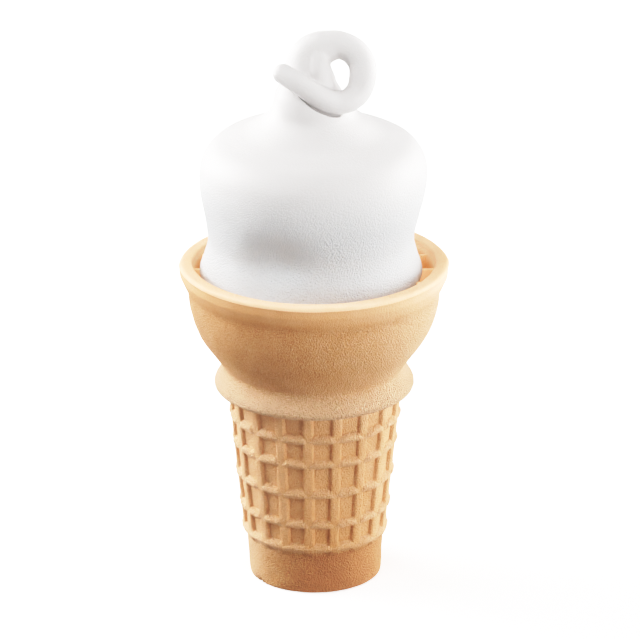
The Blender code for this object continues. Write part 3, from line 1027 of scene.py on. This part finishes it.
# %% Make the soft serve
SERVE_CREAM = "#DCD8D6"  # the drawn-out upper half
SERVE_COOL_SHADE = "#D9DCDE"  # the lower half, painted cooler as a painted cool shade
STREAK = 0.00035  # width of a streak in metres
STREAK_SLANT = math.radians(50)
STREAK_STRETCH = 1.5
STREAK_HEIGHT = 0.0009
FROST_ABOVE = 0.12  # share of the frost, and of the painted cool shade, that is left on the upper half


def soft_serve_look():
    """Cold, nearly white and softly glowing."""
    made, tree, shader, place = new_material("iced_soft_serve")
    height = node(tree, "ShaderNodeSeparateXYZ", Vector=place).outputs["Z"]
    fade = {"Value": height, "_1": ICE_FADE[0] * MM, "_2": ICE_FADE[1] * MM, "_3": 1.0, "_4": FROST_ABOVE}
    low = node(tree, "ShaderNodeMapRange", {"interpolation_type": "SMOOTHSTEP"}, **fade).outputs[0]
    # painted cool shade: the lower half gets a cooler tone than the upper
    tones = {"_0": low, "_6": linear(SERVE_CREAM), "_7": linear(SERVE_COOL_SHADE)}
    tone = node(tree, "ShaderNodeMix", {"data_type": "RGBA"}, **tones).outputs[2]
    tree.links.new(tone, shader.inputs["Base Color"])
    slant = {"Rotation": (0.0, STREAK_SLANT, 0.0), "Scale": (1.0, 1.0, STREAK_STRETCH)}
    slanted = node(tree, "ShaderNodeMapping", {"vector_type": "TEXTURE"}, Vector=place, **slant).outputs[0]
    frost = {"Vector": slanted, "Scale": 1 / STREAK, "Detail": 2.0, "Roughness": 0.55}
    crackle = node(tree, "ShaderNodeTexNoise", **frost).outputs["Fac"]
    raised = node(tree, "ShaderNodeMath", {"operation": "MULTIPLY"}, _0=crackle, _1=low).outputs[0]
    bump = node(tree, "ShaderNodeBump", Strength=1.0, Distance=STREAK_HEIGHT, Height=raised)
    tree.links.new(bump.outputs["Normal"], shader.inputs["Normal"])
    shader.inputs["Roughness"].default_value = 0.5
    shader.inputs["IOR"].default_value = 1.35
    shader.inputs["Subsurface Weight"].default_value = 0.4
    shader.inputs["Subsurface Radius"].default_value = (1.0, 0.95, 0.9)
    shader.inputs["Subsurface Scale"].default_value = 0.0006
    return made


paint(body, soft_serve_look())

# %% [markdown]
# ## Floor
#
# A white floor that curves up into a wall all round leaves no horizon, as in a studio cove. Only the
# camera sees it: it throws no light back, so the cone keeps the deep modelling of its side lights.

# %% Lay the floor
FLOOR_RADIUS = 3.0
COVE_RADIUS = 1.0
WALL_TOP = 4.0
FLOOR_GLOW = 0.6  # keeps the floor white, so that only faint shade shows round the foot


def studio_cove():
    """White floor with a wall that rises from it in a curve."""
    bend = [
        (FLOOR_RADIUS + COVE_RADIUS * math.sin(a), COVE_RADIUS * (1 - math.cos(a)))
        for a in np.radians(np.arange(0, 91, 10))
    ]
    outline = np.array([(0.5, 0.0), *bend, (FLOOR_RADIUS + COVE_RADIUS, WALL_TOP)]) / MM
    made = closed_mesh("studio_cove", turn(outline, np.radians(np.arange(0, 360, 5))))
    look, _, shader, _ = new_material("white_floor_paint")
    shader.inputs["Base Color"].default_value = linear("#FAFAFA")
    shader.inputs["Roughness"].default_value = 1.0
    shader.inputs["Specular IOR Level"].default_value = 0.0
    shader.inputs["Emission Color"].default_value = linear("#FFFFFF")
    shader.inputs["Emission Strength"].default_value = FLOOR_GLOW
    paint(made, look)
    for rays in ("diffuse", "glossy", "transmission", "shadow"):
        setattr(made, "visible_" + rays, False)
    return made


studio_cove()

# %% [markdown]
# ## Light
#
# A light straight from the front would flatten the waffle grid. Two large soft lights stand well
# behind the cone on either side instead, so that both its edges are bright and its front turns softly
# darker. Three weaker ones model the front: a low one at the right that rakes across the grid, one at
# the left and one high in front. The room's own glow is stronger from below than from above, as over a
# white table. The picture is shown with a short toe and a long shoulder on its tone curve, so that
# white ice cream in bright light rolls off to white and keeps its form.

# %% Hang the lights
GLOW_BELOW = 0.72
GLOW_ABOVE = 0.12
HORIZON = 0.2  # the glow changes between this far below and above the horizon
AIM_POINT = Vector((0.0, 0.0, 0.08))
LIGHT_DISTANCE = 1.3
LIGHT_SIZE = 0.9
LIGHTS = (  # name, degrees from the front towards the right, degrees above the floor, brightness
    ("rim_left", -120, 15, 1.6),
    ("rim_right", 118, 12, 1.6),
    ("front_right", 62, 3, 0.95),
    ("left", -98, 30, 1.0),
    ("high_front", -10, 60, 0.68),
)


def soft_light(name, turn_angle, rise, brightness):
    """Square area light aimed at the cone; its brightness is the light it gives a white card."""
    data = bpy.data.lights.new(name, "AREA")
    data.size = LIGHT_SIZE
    data.energy = brightness * math.pi**2 * LIGHT_DISTANCE**2
    lamp = bpy.data.objects.new(name, data)
    turned, risen = math.radians(turn_angle), math.radians(rise)
    away = Vector((math.sin(turned) * math.cos(risen), -math.cos(turned) * math.cos(risen), math.sin(risen)))
    lamp.location = AIM_POINT + away * LIGHT_DISTANCE
    lamp.rotation_euler = away.to_track_quat("Z", "Y").to_euler()
    bpy.context.scene.collection.objects.link(lamp)


world = bpy.data.worlds.new("studio")
world.use_nodes = True
background = world.node_tree.nodes["Background"]
direction = node(world.node_tree, "ShaderNodeTexCoord").outputs["Generated"]
rise_of = node(world.node_tree, "ShaderNodeSeparateXYZ", Vector=direction).outputs["Z"]
glow_range = {"Value": rise_of, "_1": -HORIZON, "_2": HORIZON, "_3": GLOW_BELOW, "_4": GLOW_ABOVE}
glow = node(world.node_tree, "ShaderNodeMapRange", **glow_range).outputs[0]
world.node_tree.links.new(glow, background.inputs["Strength"])
background.inputs["Color"].default_value = linear("#FFFFFF")
bpy.context.scene.world = world
for light in LIGHTS:
    soft_light(*light)
print("lights:", len(LIGHTS))

# %% Set the tone curve
WHITE_POINT = 2.0  # this much light shows as pure white
TONE_CURVE = (  # light that comes in, light that is shown
    (0.05, 0.065),
    (0.1, 0.165),
    (0.15, 0.285),
    (0.25, 0.5),
    (0.4, 0.735),
    (0.6, 0.885),
    (0.8, 0.965),
)

view = bpy.context.scene.view_settings
view.view_transform = "Standard"
view.use_curve_mapping = True
view.curve_mapping.white_level = (WHITE_POINT, WHITE_POINT, WHITE_POINT)
for shown_in, shown_out in TONE_CURVE:
    view.curve_mapping.curves[3].points.new(shown_in, shown_out)
view.curve_mapping.update()
print("tone curve:", len(TONE_CURVE), "points up to white at", WHITE_POINT)
